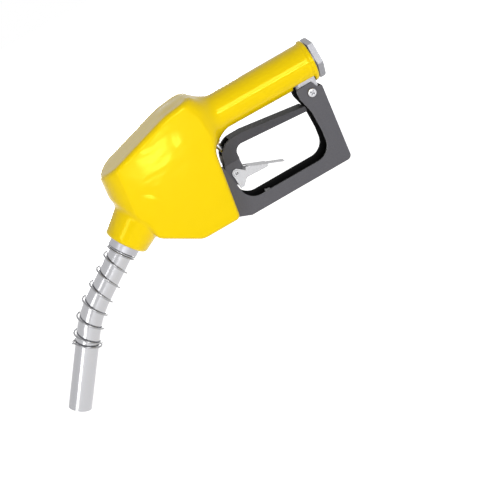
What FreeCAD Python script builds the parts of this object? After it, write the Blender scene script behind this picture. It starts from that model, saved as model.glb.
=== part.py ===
import FreeCAD, Part
import math
import os

from FreeCAD import Vector

# Automatic shut-off fuel nozzle, in millimetres.
# Origin: centre of the inlet mouth.  +X points out of the inlet along the handle, +Z is up.
# The pieces lie symmetric about the plane Y = 0 unless a comment says otherwise.

# ---- handle and inlet ----
INLET_BORE_R = 13.2          # 3/4 in pipe thread, at the thread's root
INLET_BORE_DEPTH = 18.0
HEX_ACROSS_FLATS = 36.0
HEX_LENGTH = 6.0
HEX_TURN = 21.0              # degrees, a corner's turn from straight up
HEX_BEVEL = 1.2
HANDLE_CASTING_R = 16.2
HANDLE_FLOW_R = 10.5
HANDLE_FLOW_END = 108.0      # from the inlet mouth
GRIP_R_REAR = 19.2
GRIP_R_FRONT = 18.2
GRIP_INTO_BODY = 2.0         # how far the grip runs in past the foot of the hump
LIP_R = 21.0
LIP_LENGTH = 5.5
LIP_GAP = 6.3                # from the mouth to the cover's end, just behind the hex

# ---- body, outer faces of the cover ----
COVER_WALL = 2.2
CASTING_WALL = 4.0
BODY_HALF_WIDTH = 27.5
HUMP_REAR_X = -129.0
HUMP_TOP_Z = 31.0
HUMP_FOOT_X = -120.0
SHOULDER_X = -160.0
SHOULDER_Z = 26.8
FRONT_X = -237.5             # top of the prow
FRONT_TOP_Z = 2.2
FRONT_LEAN = 5.0             # degrees, the prow leans forward on its way down
FACET_AT = 12.0              # facet that carries the nose, along the spout axis
BOTTOM_RISE = 31.4           # degrees, from the bottom up to that facet
BOTTOM_FRONT_X = -182.0
BOTTOM_Z = -97.5
BOTTOM_REAR_X = -140.8
REAR_LEAN = 7.0              # degrees
ARCH_R = 26.0
PROW_DEPTH = 15.5
PROW_CROWN = 2.0             # the arc in plan would reach this far past the front
FLANK_START_X = -116.0       # the flanks widen from here to their full width
FLANK_END_X = -138.0
FLANK_HALF_WIDTH = 12.0
EDGE_CHAMFER = 5.0

# ---- spout ----
SPOUT_ROOT_X = -214.7        # a point on the spout's upper axis, inside the body
SPOUT_ROOT_Z = -44.0
SPOUT_DROP_UPPER = 35.3      # degrees below the handle axis
SPOUT_DROP_LOWER = 54.7
SPOUT_TO_BEND = 120.3        # root to the corner of the two axes
SPOUT_LOWER_LENGTH = 98.8    # corner to tip
SPOUT_BEND_R = 115.0
SPOUT_R = 11.9
SPOUT_WALL = 1.2
SPOUT_START = 24.0           # all of these run along the upper axis from the root
NOSE_START = -10.0
NOSE_END = 42.0
NOSE_R_END = 21.8
NOSE_R_ROOT = 25.5
COLLAR_START = 4.0
COLLAR_END = 49.4
COLLAR_R = 15.2
COLLAR_BORE_R = 12.6
OUTLET_R = 11.0              # passage from the body cavity to the collar
O_RING_WIRE_R = 1.3
O_RING_AT = 16.0
LOCK_SCREW_AT = 32.0
LOCK_SCREW_R = 2.5
SENSOR_FROM_TIP = 16.5
SENSOR_R = 2.6
VACUUM_TUBE_R = 2.0
VACUUM_TUBE_WALL = 0.5
VACUUM_TUBE_OFFSET = 7.9
COIL_WIRE_R = 0.9
COIL_R = 14.1
COIL_PITCH = 16.0
COIL_OPEN_TURNS = 6
COIL_CLOSED_TURNS = 1.5      # at each end

# ---- check valve, along the same axis ----
CHECK_SEAT_LENGTH = 4.0
CHECK_SEAT_BORE_R = 7.0
CHECK_DISC_R = 8.8
CHECK_DISC_LENGTH = 3.0
CHECK_STEM_R = 1.5
CHECK_GUIDE_AT = 20.0
CHECK_GUIDE_LENGTH = 3.0

# ---- main valve, along its own tilted axis from the stem's foot ----
STEM_FOOT_X = -121.0
STEM_FOOT_Z = -40.0
VALVE_TILT = 22.0            # degrees, the top leans to the front
STEM_R = 3.0
STEM_GAP = 0.2               # play between the stem's foot and the lever
STEM_TOP = 55.0
GLAND_START = 13.5
GLAND_HEAD_END = 17.0
GLAND_HEAD_R = 6.0
GLAND_R = 4.6
GLAND_END = 20.0
PACKING_LENGTH = 4.0
LOWER_CHAMBER_START = 27.0
LOWER_CHAMBER_R = 11.0
SEAT_START = 36.0
SEAT_LENGTH = 4.0
SEAT_BORE_R = 9.0
SEAT_R = 13.0
DISC_LENGTH = 2.0
DISC_R = 11.0
POPPET_LENGTH = 5.0
POPPET_R = 11.8
UPPER_CHAMBER_R = 14.0
CAP_START = 58.0
CAP_END = 66.0
CAP_BOSS_START = 53.0
CAP_BOSS_R = 5.0
POPPET_LIFT = 3.5
RAMP_AT = 47.0               # where the flow from the handle meets the upper chamber
RAMP_R = 6.5
CROSSOVER_R = 8.0            # from the lower chamber to the cavity
CROSSOVER_LENGTH = 30.0

# ---- shut-off latch, along its own tilted axis from the lever's pivot ----
PIVOT_X = -131.0
PIVOT_Z = -68.0
LATCH_TILT = 40.0
PLUNGER_STEM_R = 4.0
PLUNGER_R = 6.0
PLUNGER_SHOULDER = 31.0
PLUNGER_TOP = 46.0
PLUNGER_BORE_R = 3.2
PLUNGER_BORE_START = 30.5
PLUNGER_DROP = 6.0
GUIDE_START = 9.5
GUIDE_END = 15.0
GUIDE_R = 7.0
SLEEVE_R = 9.0
SLEEVE_END = 50.0
BALL_R = 2.4
BALL_AT = 42.0
BALL_CENTRE_R = 4.6
BALL_TRAVEL = 1.05
LATCH_PIN_LIFT = 3.0
LATCH_PIN_R = 2.05
LATCH_PIN_TIP_R = 0.95
LATCH_PLAY = 0.1
BOSS_R = 12.5
DIAPHRAGM_R = 18.0
DIAPHRAGM_THICK = 1.2
DIAPHRAGM_PLATE_R = 8.0
DIAPHRAGM_PLATE_THICK = 1.4
DIAPHRAGM_SEAT = 6.0
DIAPHRAGM_FLANGE = 3.0
DIAPHRAGM_CAP_LENGTH = 9.5
CAP_SCREW_LENGTH = 9.0
DIAPHRAGM_CAP_CAVITY_R = 12.0
DIAPHRAGM_CAP_CAVITY = 7.5
CAP_SCREW_CIRCLE_R = 15.0
CAP_SCREW_R = 1.3
CAP_SCREW_HEAD_R = 2.3
FRONT_CAP_X = -192.0
FRONT_CAP_R = 20.0
FRONT_CAP_THICK = 4.5

# ---- lever ----
LEVER_HALF_WIDTH = 9.6
LEVER_CORE_HALF_WIDTH = 5.6
LEVER_CORE_WALL = 1.3        # each cheek of the fork
LEVER_PIN_R = 2.5
LEVER_FRONT_X = -128.0
LEVER_CROWN_Z = -27.5
LEVER_CROWN_R = 19.0
LEVER_REAR_X = -33.0
LEVER_REAR_Z = -36.0
LEVER_LEG = 15.0             # front to back of the leg
LEVER_DEPTH_FRONT = 8.5
LEVER_DEPTH_REAR = 5.5
LEVER_WALL = 2.4
LEVER_RIB_SPACING = 14.0
LEVER_RIB = 1.6
LEVER_COVER_LOW_Z = -49.0
LEVER_CORE_REAR_X = -80.0
SADDLE_FRONT = 5.5           # flat for the stem's foot, to the front and rear of its axis
SADDLE_REAR = 11.5
SADDLE_HALF_WIDTH = 6.6

# ---- guard ----
GUARD_HALF_WIDTH = 13.0
GUARD_WALL = 2.0
GUARD_BOTTOM_Z = -104.6
GUARD_REAR_TOP_X = -8.8
GUARD_REAR_LOW_X = -14.0
GUARD_TAB_Z = -17.2
GUARD_TAB_FRONT_X = -35.0
GUARD_TAB_REAR_X = -17.0
GUARD_NOTCH_X = -14.4
GUARD_NOTCH_Z = -24.0
GUARD_POST_FOOT_X = -29.0
WINDOW_BOTTOM_Z = -90.6
WINDOW_REAR_X = -31.0
WINDOW_REAR_Z = -66.0
WINDOW_FRONT_X = -124.0
FRONT_POST_TOP_Z = -47.0
REAR_SCREW_X = -21.7
REAR_SCREW_Z = -26.5
REAR_SCREW_R = 2.5
REAR_SCREW_HEAD_R = 4.6
LUG_FRONT_X = -30.5
LUG_REAR_X = -12.5
LUG_BOTTOM_Z = -31.5
FRONT_SCREW_Z = (-78.0, -90.0)
FRONT_SCREW_R = 2.0
FRONT_SCREW_LENGTH = 5.5
RACK_FRONT_X = -104.0
RACK_STEP = 6.0
RACK_STEPS = 3
RACK_RISE = 2.2
RACK_BASE = 2.0
RACK_HALF_WIDTH = 7.0

# ---- hold-open clip, laid out along its web from the rivet ----
CLIP_PIVOT_X = -122.1
CLIP_PIVOT_Z = -61.5
CLIP_HALF_WIDTH = 6.9
CLIP_SHEET = 0.9
CLIP_EAR_R = 4.5
CLIP_WEB_RISE = 5.3          # from the rivet up to the web's outer face
CLIP_WEB_START = 12.0
CLIP_WEB_END = 32.0
CLIP_TONGUE_END = 50.0
CLIP_WEB_DROP = 22.0         # degrees below the handle axis
CLIP_TONGUE_HALF_WIDTH = 4.3
CLIP_TAIL_LENGTH = 15.5
CLIP_RIVET_R = 2.2
CLIP_RIVET_BORE_R = 1.3
CLIP_RIVET_HEAD_R = 3.3
CLIP_RIVET_HEAD = 0.6

RUN_FIT = 0.05               # radial clearance of sliding and turning fits
BODY_PLAY = 0.3              # clearance between pieces that only pass each other
PAST = 300.0                 # reach of cutting forms, past the whole object
GRIP_END = GRIP_INTO_BODY - HUMP_FOOT_X


# ---- helpers ----
def heading(degrees_down, forward=True):
    """Unit vector in the XZ plane, so many degrees below the handle axis."""
    a = math.radians(degrees_down)
    return Vector(-math.cos(a) if forward else math.cos(a), 0, -math.sin(a))


def across(direction):
    """The direction turned a quarter in the XZ plane: for the spout this is its upper side."""
    return Vector(direction.z, 0, -direction.x)


def at(axis, along, side=0.0, y=0.0):
    origin, direction = axis
    return origin + direction * along + across(direction) * side + Vector(0, y, 0)


def rod(axis, start, end, radius, side=0.0, y=0.0):
    return Part.makeCylinder(radius, end - start, at(axis, start, side, y), axis[1])


def taper(axis, start, end, radius_start, radius_end):
    return Part.makeCone(radius_start, radius_end, end - start, at(axis, start), axis[1])


def tube(axis, start, end, outer, inner):
    return rod(axis, start, end, outer).cut(rod(axis, start - 1, end + 1, inner))


def meet(p, d, q, e):
    """Where the line through p along d meets the line through q along e, in the XZ plane."""
    k = ((q.x - p.x) * e.z - (q.z - p.z) * e.x) / (d.x * e.z - d.z * e.x)
    return p + d * k


def side_plate(points, y_low, y_high):
    """Prism over (x, z) points between two Y planes."""
    corners = [Vector(x, y_low, z) for x, z in points]
    face = Part.Face(Part.makePolygon(corners + corners[:1]))
    return face.extrude(Vector(0, y_high - y_low, 0))


def rounded(points, radii, y_low, y_high):
    """Prism over (x, z) points with each corner rounded to its own radius, 0 for a sharp one."""
    count = len(points)
    edges = []
    first = last = None
    for i in range(count):
        p = Vector(points[i][0], y_low, points[i][1])
        before = Vector(points[i - 1][0], y_low, points[i - 1][1]) - p
        after = Vector(points[(i + 1) % count][0], y_low, points[(i + 1) % count][1]) - p
        before.normalize()
        after.normalize()
        if radii[i] > 0:
            half = before.getAngle(after) / 2
            reach = radii[i] / math.tan(half)
            start = p + before * reach
            end = p + after * reach
            bisector = (before + after).normalize()
            middle = p + bisector * (radii[i] / math.sin(half) - radii[i])
        else:
            start = end = p
        if last is not None:
            edges.append(Part.LineSegment(last, start).toShape())
        else:
            first = start
        if radii[i] > 0:
            edges.append(Part.Arc(start, middle, end).toShape())
        last = end
    edges.append(Part.LineSegment(last, first).toShape())
    return Part.Face(Part.Wire(edges)).extrude(Vector(0, y_high - y_low, 0))


def fuse(shapes):
    return shapes[0].multiFuse(shapes[1:]).removeSplitter()


def cut(shape, tools):
    for tool in tools:
        shape = shape.cut(tool)
    return shape


def coil(axis, start, pitch, turns, radius, wire_r):
    """Compression spring on a straight axis, made of half rings that meet in line."""
    edges = []
    half_turns = int(round(turns * 2))
    for i in range(half_turns):
        sign = 1 if i % 2 == 0 else -1
        a = at(axis, start + pitch * i / 2, sign * radius)
        b = at(axis, start + pitch * (i + 1) / 2, -sign * radius)
        middle = (a + b) * 0.5 + Vector(0, -sign * (b - a).Length / 2, 0)
        edges.append(Part.Arc(a, middle, b).toShape())
    path = Part.Wire(edges)
    section = Part.Wire([Part.makeCircle(wire_r, at(axis, start, radius), Vector(0, 1, 0))])
    return path.makePipeShell([section], True, False)


def bolt(centre, direction, length, radius, head_r, head_length):
    """Pan-head screw; centre is under the head and direction points into the work."""
    axis = (centre, direction)
    shank = rod(axis, 0, length, radius)
    head = rod(axis, -head_length, 0, head_r)
    socket = rod(axis, -head_length - 1, -head_length * 0.4, head_r * 0.4)
    return fuse([shank, head]).cut(socket)


# ---- axes ----
HANDLE = (Vector(0, 0, 0), Vector(-1, 0, 0))
SPOUT = (Vector(SPOUT_ROOT_X, 0, SPOUT_ROOT_Z), heading(SPOUT_DROP_UPPER))
BEND = at(SPOUT, SPOUT_TO_BEND)
LOWER = (BEND, heading(SPOUT_DROP_LOWER))
TIP = (at(LOWER, SPOUT_LOWER_LENGTH), LOWER[1] * -1)
VALVE = (Vector(STEM_FOOT_X, 0, STEM_FOOT_Z), heading(VALVE_TILT - 90))
LATCH = (Vector(PIVOT_X, 0, PIVOT_Z), heading(LATCH_TILT - 90))


# ---- the body's outer form, shared by cover and casting ----
def body_form(inset):
    """The body without handle and nose; inset 0 is the cover's outside."""
    front = heading(90 - FRONT_LEAN)
    rise = heading(-BOTTOM_RISE)
    facet = across(SPOUT[1])
    front_top = Vector(FRONT_X, 0, FRONT_TOP_Z)
    front_low = meet(front_top, front, at(SPOUT, FACET_AT), facet)
    bottom_front = Vector(BOTTOM_FRONT_X, 0, BOTTOM_Z)
    facet_low = meet(bottom_front, rise, at(SPOUT, FACET_AT, -NOSE_R_ROOT), SPOUT[1])
    bottom_rear = Vector(BOTTOM_REAR_X, 0, BOTTOM_Z)
    rear = Vector(math.sin(math.radians(REAR_LEAN)), 0, math.cos(math.radians(REAR_LEAN)))
    arch_corner = meet(bottom_rear, rear, Vector(0, 0, -GRIP_R_FRONT), Vector(1, 0, 0))
    inner_x = arch_corner.x + ARCH_R * 0.95
    points = [
        (HUMP_REAR_X, HUMP_TOP_Z),
        (SHOULDER_X, SHOULDER_Z),
        (front_top.x, front_top.z),
        (front_low.x, front_low.z),
        (facet_low.x, facet_low.z),
        (bottom_front.x, bottom_front.z),
        (bottom_rear.x, bottom_rear.z),
        (arch_corner.x, arch_corner.z),
        (inner_x, -GRIP_R_FRONT),
        (inner_x, HANDLE_CASTING_R - EDGE_CHAMFER),
        (HUMP_FOOT_X, HANDLE_CASTING_R - 1),
    ]
    radii = [4.0, 0, 4.0, 0, 0, 5.0, 1.0, ARCH_R, 0, 0, 0]
    reach = BODY_HALF_WIDTH + 10
    side = rounded(points, radii, -reach, reach)
    y = BODY_HALF_WIDTH
    front_edge = FRONT_X + PROW_DEPTH
    top = BODY_HALF_WIDTH * 3
    plan_z = BOTTOM_Z - 10
    left = Vector(front_edge, -y, plan_z)
    right = Vector(front_edge, y, plan_z)
    outline = [
        Part.LineSegment(right, Vector(FLANK_END_X, y, plan_z)),
        Part.LineSegment(Vector(FLANK_END_X, y, plan_z), Vector(FLANK_START_X, FLANK_HALF_WIDTH, plan_z)),
        Part.LineSegment(Vector(FLANK_START_X, FLANK_HALF_WIDTH, plan_z),
                         Vector(inner_x + 5, FLANK_HALF_WIDTH, plan_z)),
        Part.LineSegment(Vector(inner_x + 5, FLANK_HALF_WIDTH, plan_z),
                         Vector(inner_x + 5, -FLANK_HALF_WIDTH, plan_z)),
        Part.LineSegment(Vector(inner_x + 5, -FLANK_HALF_WIDTH, plan_z),
                         Vector(FLANK_START_X, -FLANK_HALF_WIDTH, plan_z)),
        Part.LineSegment(Vector(FLANK_START_X, -FLANK_HALF_WIDTH, plan_z),
                         Vector(FLANK_END_X, -y, plan_z)),
        Part.LineSegment(Vector(FLANK_END_X, -y, plan_z), left),
        Part.Arc(left, Vector(FRONT_X - PROW_CROWN, 0, plan_z), right),
    ]
    plan_face = Part.Face(Part.Wire([line.toShape() for line in outline]))
    side_face = [f for f in side.Faces if abs(f.normalAt(0, 0).y + 1) < 1e-6][0]
    if inset > 0:
        plan_face = plan_face.makeOffset2D(-inset)
        side_face = side_face.makeOffset2D(-inset)
    plan = plan_face.extrude(Vector(0, 0, top - plan_z))
    side = side_face.extrude(Vector(0, reach * 2, 0))
    body = side.common(plan)
    return body


def softened(body):
    """Body with its long top edges bevelled, as the moulded cover rolls over there."""
    edges = []
    for edge in body.Edges:
        box = edge.BoundBox
        if box.ZMin > 0 and box.XLength > 30 and box.XMax < HUMP_REAR_X and box.YLength < 0.1:
            edges.append(edge)
    return body.makeChamfer(EDGE_CHAMFER, edges)


def nose(inset):
    root = rod(SPOUT, NOSE_START, FACET_AT - 2, NOSE_R_ROOT - inset)
    cone = taper(SPOUT, FACET_AT - 2, NOSE_END - inset, NOSE_R_ROOT - inset, NOSE_R_END - inset)
    return fuse([root, cone])


def hex_end():
    corner = HEX_ACROSS_FLATS / math.sqrt(3)
    points = []
    for i in range(6):
        angle = math.radians(60 * i + HEX_TURN)
        points.append(Vector(0, corner * math.sin(angle), corner * math.cos(angle)))
    hexagon = Part.Face(Part.makePolygon(points + points[:1])).extrude(Vector(-HEX_LENGTH, 0, 0))
    bevel = taper(HANDLE, 0, HEX_BEVEL, corner - HEX_BEVEL, corner)
    return hexagon.common(fuse([bevel, rod(HANDLE, HEX_BEVEL, HEX_LENGTH, corner + 1)]))


def outer_casting():
    """Solid outside of the casting, before any bore is cut."""
    body = softened(body_form(COVER_WALL))
    handle = rod(HANDLE, HEX_LENGTH - 1, GRIP_END - 2, HANDLE_CASTING_R)
    lug_y = GUARD_HALF_WIDTH - GUARD_WALL
    lug = rounded([(LUG_REAR_X, 0), (LUG_FRONT_X, 0), (LUG_FRONT_X, LUG_BOTTOM_Z), (LUG_REAR_X, LUG_BOTTOM_Z)],
                  [0, 0, 4.0, 4.0], -lug_y, lug_y)
    return fuse([body, nose(COVER_WALL), handle, lug, hex_end()])


def cavity():
    """The fuel space in front of the main valve."""
    inner = body_form(COVER_WALL + CASTING_WALL)
    side = -(UPPER_CHAMBER_R + CASTING_WALL)
    low = at(VALVE, 0, side)
    high = at(VALVE, CAP_END * 2, side)
    front = side_plate([(low.x, low.z), (high.x, high.z), (-PAST, high.z), (-PAST, low.z)], -PAST, PAST)
    low_top = meet(low, VALVE[1], Vector(0, 0, low.z + 1), Vector(1, 0, 0))
    below = side_plate([(low_top.x, low_top.z), (low_top.x, BOTTOM_Z), (-PAST, BOTTOM_Z),
                        (-PAST, low_top.z)], -PAST, PAST)
    return inner.common(fuse([front, below]))


def body_casting():
    """Aluminium casting: hex inlet, handle tube, valve chambers, latch boss, spout bore."""
    shape = outer_casting().cut(cavity())
    boss = fuse([rod(LATCH, 0, SLEEVE_END, BOSS_R),
                 rod(LATCH, SLEEVE_END - DIAPHRAGM_SEAT, SLEEVE_END, DIAPHRAGM_R)])
    shape = shape.fuse(boss.common(cavity()))
    ramp_from = at(HANDLE, HANDLE_FLOW_END)
    ramp_to = at(VALVE, RAMP_AT)
    ramp = (ramp_from, (ramp_to - ramp_from).normalize())
    ramp_length = (ramp_to - ramp_from).Length
    shape = cut(shape, [
        rod(HANDLE, -1, INLET_BORE_DEPTH, INLET_BORE_R),
        rod(HANDLE, 1, HANDLE_FLOW_END, HANDLE_FLOW_R),
        rod(ramp, -RAMP_R / 2, ramp_length, RAMP_R),
        rod(VALVE, LOWER_CHAMBER_START, SEAT_START, LOWER_CHAMBER_R),
        rod(VALVE, SEAT_START, SEAT_START + SEAT_LENGTH, SEAT_R),
        rod(VALVE, SEAT_START + SEAT_LENGTH, CAP_END * 2, UPPER_CHAMBER_R),
        rod(VALVE, GLAND_START - 15, LOWER_CHAMBER_START + 1, STEM_R + BODY_PLAY),
        rod(VALVE, GLAND_START - 15, GLAND_HEAD_END, GLAND_HEAD_R + BODY_PLAY),
        rod(VALVE, GLAND_HEAD_END - 1, GLAND_END + PACKING_LENGTH, GLAND_R),
        rod((at(VALVE, (LOWER_CHAMBER_START + SEAT_START) / 2), Vector(-1, 0, 0)), 0, CROSSOVER_LENGTH, CROSSOVER_R),
        rod(LATCH, -10, GUIDE_START, PLUNGER_STEM_R + 1),
        rod(LATCH, GUIDE_START, GUIDE_END, GUIDE_R),
        rod(LATCH, GUIDE_END, SLEEVE_END, SLEEVE_R),
        rod(LATCH, SLEEVE_END, SLEEVE_END + DIAPHRAGM_CAP_LENGTH + 6, DIAPHRAGM_R + 1),
        rod(SPOUT, COLLAR_START, NOSE_END + 5, COLLAR_R),
        rod(SPOUT, COLLAR_START - 25, COLLAR_START + 1, OUTLET_R),
        rod(front_cap_axis(), -FRONT_CAP_THICK - 2.5, 20, FRONT_CAP_R),
        rear_screw_hole(REAR_SCREW_R),
        lock_screw_hole(),
    ])
    for hole in front_screw_axes():
        shape = shape.cut(rod(hole, -2, FRONT_SCREW_LENGTH, FRONT_SCREW_R))
    for hole in cap_screw_axes():
        shape = shape.cut(rod(hole, -1, CAP_SCREW_LENGTH, CAP_SCREW_R))
    return shape


def front_cap_axis():
    """Axis of the access cap, out through the sloping top; 0 is the cap's outer face."""
    slope = math.atan2(SHOULDER_Z - FRONT_TOP_Z, SHOULDER_X - FRONT_X)
    normal = Vector(-math.sin(slope), 0, math.cos(slope))
    z = SHOULDER_Z + (FRONT_CAP_X - SHOULDER_X) * math.tan(slope)
    return (Vector(FRONT_CAP_X, 0, z) - normal * (COVER_WALL + BODY_PLAY), normal)


def rear_screw_hole(radius):
    return Part.makeCylinder(radius, 80, Vector(REAR_SCREW_X, -40, REAR_SCREW_Z), Vector(0, 1, 0))


def lock_screw_hole():
    """Threaded hole through the nose's underside for the spout lock screw."""
    return Part.makeCylinder(LOCK_SCREW_R, NOSE_R_ROOT + 5, at(SPOUT, LOCK_SCREW_AT), across(SPOUT[1]) * -1)


def rear_face_x(z, inset):
    """X of the body's rear face at a height, inset from the cover's outside."""
    return BOTTOM_REAR_X - inset / math.cos(math.radians(REAR_LEAN)) + (z - BOTTOM_Z) * math.tan(
        math.radians(REAR_LEAN))


def front_screw_axes():
    """Guard front screws: from the web's inner face into the casting's rear wall."""
    axes = []
    lean = math.radians(REAR_LEAN)
    inward = Vector(-math.cos(lean), 0, math.sin(lean))
    for z in FRONT_SCREW_Z:
        face = Vector(rear_face_x(z, COVER_WALL), 0, z)
        axes.append((face - inward * GUARD_WALL, inward))
    return axes


def cap_screw_axes():
    """Diaphragm cap screws: from the cap's top face down into the latch boss."""
    axes = []
    for i in range(4):
        angle = math.radians(45 + 90 * i)
        side = CAP_SCREW_CIRCLE_R * math.cos(angle)
        y = CAP_SCREW_CIRCLE_R * math.sin(angle)
        top = SLEEVE_END + DIAPHRAGM_THICK + DIAPHRAGM_FLANGE
        axes.append((at(LATCH, top, side, y), LATCH[1] * -1))
    return axes


def scuff_cover():
    """Vinyl cover, one moulding over body and handle."""
    body = softened(body_form(0))
    grip = taper(HANDLE, LIP_GAP, GRIP_END, GRIP_R_REAR, GRIP_R_FRONT)
    lip = rod(HANDLE, LIP_GAP, LIP_GAP + LIP_LENGTH, LIP_R)
    lip = lip.makeFillet(1.8, [e for e in lip.Edges if e.BoundBox.XLength < 0.01])
    shape = fuse([body, nose(0), grip, lip]).cut(outer_casting())
    half = GUARD_HALF_WIDTH + BODY_PLAY
    post = side_plate([(rear_face_x(BOTTOM_Z, COVER_WALL + 1), BOTTOM_Z - 5),
                       (rear_face_x(BOTTOM_Z, -9), BOTTOM_Z - 5),
                       (rear_face_x(FRONT_POST_TOP_Z, -9), FRONT_POST_TOP_Z + 1),
                       (rear_face_x(FRONT_POST_TOP_Z, COVER_WALL + 1), FRONT_POST_TOP_Z + 1)], -half, half)
    underside = side_plate([(-LIP_GAP - LIP_LENGTH, -8), (GUARD_TAB_FRONT_X - 1, -8), (GUARD_TAB_FRONT_X - 1, -PAST),
                            (-LIP_GAP - LIP_LENGTH, -PAST)], -half, half)
    return cut(shape, [
        post,
        underside,
        rod(VALVE, -5, LOWER_CHAMBER_START, GLAND_HEAD_R + 1),
        rod(LATCH, -10, GUIDE_END, PLUNGER_STEM_R + 2),
        rod(SPOUT, NOSE_END - COVER_WALL - 3, NOSE_END + 5, COLLAR_R + BODY_PLAY),
    ])


# ---- guard ----
def guard_outline(inset):
    """Outer outline of the guard as (x, z) and its corner radii."""
    low = GUARD_BOTTOM_Z + inset
    cut_z = BOTTOM_Z - 1 + inset
    lean = (GUARD_REAR_TOP_X - GUARD_REAR_LOW_X) / (GUARD_TAB_Z - GUARD_BOTTOM_Z)
    points = [
        (rear_face_x(cut_z, COVER_WALL) + inset, cut_z),
        (rear_face_x(BOTTOM_Z, COVER_WALL) + inset + 15, low),
        (GUARD_REAR_LOW_X - inset, low),
        (GUARD_REAR_LOW_X - inset + lean * (GUARD_NOTCH_Z - GUARD_BOTTOM_Z), GUARD_NOTCH_Z),
        (GUARD_NOTCH_X, GUARD_NOTCH_Z),
        (GUARD_TAB_REAR_X, GUARD_TAB_Z),
        (GUARD_TAB_FRONT_X, GUARD_TAB_Z),
        (GUARD_POST_FOOT_X - 6, -40),
        (GUARD_POST_FOOT_X - 6, WINDOW_BOTTOM_Z + 20),
        (WINDOW_FRONT_X + 5, WINDOW_BOTTOM_Z + 20),
        (WINDOW_FRONT_X + 5, FRONT_POST_TOP_Z),
        (rear_face_x(FRONT_POST_TOP_Z, COVER_WALL) + inset, FRONT_POST_TOP_Z),
    ]
    corner = max(5.0 - inset, 1.0)
    radii = [0, 4.0, corner, 1.5, 0, 2.5, 3.5, 0, 0, 0, 4.0, 0]
    return points, radii


def lever_guard():
    """Channel-section hoop, open toward the fingers."""
    half = GUARD_HALF_WIDTH
    points, radii = guard_outline(0)
    outer = rounded(points, radii, -half, half)
    window = rounded([
        (WINDOW_FRONT_X, WINDOW_BOTTOM_Z),
        (WINDOW_REAR_X, WINDOW_BOTTOM_Z),
        (GUARD_POST_FOOT_X, WINDOW_REAR_Z),
        (GUARD_POST_FOOT_X - 1, WINDOW_REAR_Z + 22),
        (GUARD_TAB_FRONT_X - 1, -24.0),
        (GUARD_TAB_FRONT_X - 1, 0),
        (WINDOW_FRONT_X - 8, 0),
        (WINDOW_FRONT_X - 8, FRONT_POST_TOP_Z),
    ], [16.0, 16.0, 8.0, 12.0, 0, 0, 0, 6.0], -half - 1, half + 1)
    points, radii = guard_outline(GUARD_WALL)
    points[4] = (GUARD_REAR_TOP_X - GUARD_WALL, 0)
    points[3] = (GUARD_REAR_TOP_X - GUARD_WALL, 0)
    pocket_points = points[:4] + [(GUARD_TAB_FRONT_X - 5, 0)] + points[7:-1]
    top = FRONT_POST_TOP_Z + 20
    pocket_points[-1] = (WINDOW_FRONT_X + 5, top)
    pocket_points.append((rear_face_x(top, COVER_WALL) + GUARD_WALL, top))
    pocket = rounded(pocket_points, [0] * len(pocket_points), -half + GUARD_WALL, half - GUARD_WALL)
    shape = cut(outer, [window, pocket, rear_screw_hole(REAR_SCREW_R), rod(LATCH, -10, 20, PLUNGER_STEM_R + 2)])
    for hole in front_screw_axes():
        shape = shape.cut(rod(hole, -2, 5, FRONT_SCREW_R + 0.2))
    return shape


def hold_open_rack():
    """Three rising teeth on the channel's floor, where the clip's tongue catches."""
    floor = GUARD_BOTTOM_Z + GUARD_WALL
    points = [(RACK_FRONT_X, floor)]
    x = RACK_FRONT_X
    z = floor + RACK_BASE + RACK_RISE * RACK_STEPS
    for _ in range(RACK_STEPS):
        points.append((x, z))
        points.append((x + RACK_STEP, z - RACK_RISE * 0.4))
        x += RACK_STEP
        z -= RACK_RISE
    points.append((x, floor))
    return side_plate(points, -RACK_HALF_WIDTH, RACK_HALF_WIDTH)


def guard_rear_screw():
    start = Vector(REAR_SCREW_X, -GUARD_HALF_WIDTH, REAR_SCREW_Z)
    return bolt(start, Vector(0, 1, 0), GUARD_HALF_WIDTH * 2 + 5, REAR_SCREW_R, REAR_SCREW_HEAD_R, 2.6)


def guard_rear_nut():
    points = []
    for i in range(6):
        angle = math.radians(60 * i)
        points.append(Vector(REAR_SCREW_X + 4.6 * math.cos(angle), GUARD_HALF_WIDTH,
                             REAR_SCREW_Z + 4.6 * math.sin(angle)))
    nut = Part.Face(Part.makePolygon(points + points[:1])).extrude(Vector(0, 4, 0))
    return nut.cut(rear_screw_hole(REAR_SCREW_R))


def guard_front_screws():
    screws = []
    for origin, inward in front_screw_axes():
        screws.append(bolt(origin, inward, FRONT_SCREW_LENGTH, FRONT_SCREW_R, 3.6, 2.0))
    return Part.makeCompound(screws)


# ---- main valve ----
def valve_seat_ring():
    ring = tube(VALVE, SEAT_START, SEAT_START + SEAT_LENGTH, SEAT_R, SEAT_BORE_R)
    return ring


def poppet_disc():
    start = SEAT_START + SEAT_LENGTH
    return tube(VALVE, start, start + DISC_LENGTH, DISC_R, STEM_R)


def main_poppet():
    start = SEAT_START + SEAT_LENGTH + DISC_LENGTH
    body = tube(VALVE, start, start + POPPET_LENGTH, POPPET_R, STEM_R)
    return body.cut(tube(VALVE, start + 2, start + POPPET_LENGTH + 1, 9.5, STEM_R + 2.5))


def main_stem():
    rounded_foot = Part.makeSphere(STEM_R, at(VALVE, STEM_GAP + STEM_R))
    return fuse([rounded_foot, rod(VALVE, STEM_GAP + STEM_R, STEM_TOP, STEM_R)])


def poppet_spring():
    start = SEAT_START + SEAT_LENGTH + DISC_LENGTH + 2 + 0.8
    free = CAP_START - start - 0.9
    turns = 4
    return coil(VALVE, start + 0.1, free / turns * 0.97, turns, 7.4, 0.7)


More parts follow.
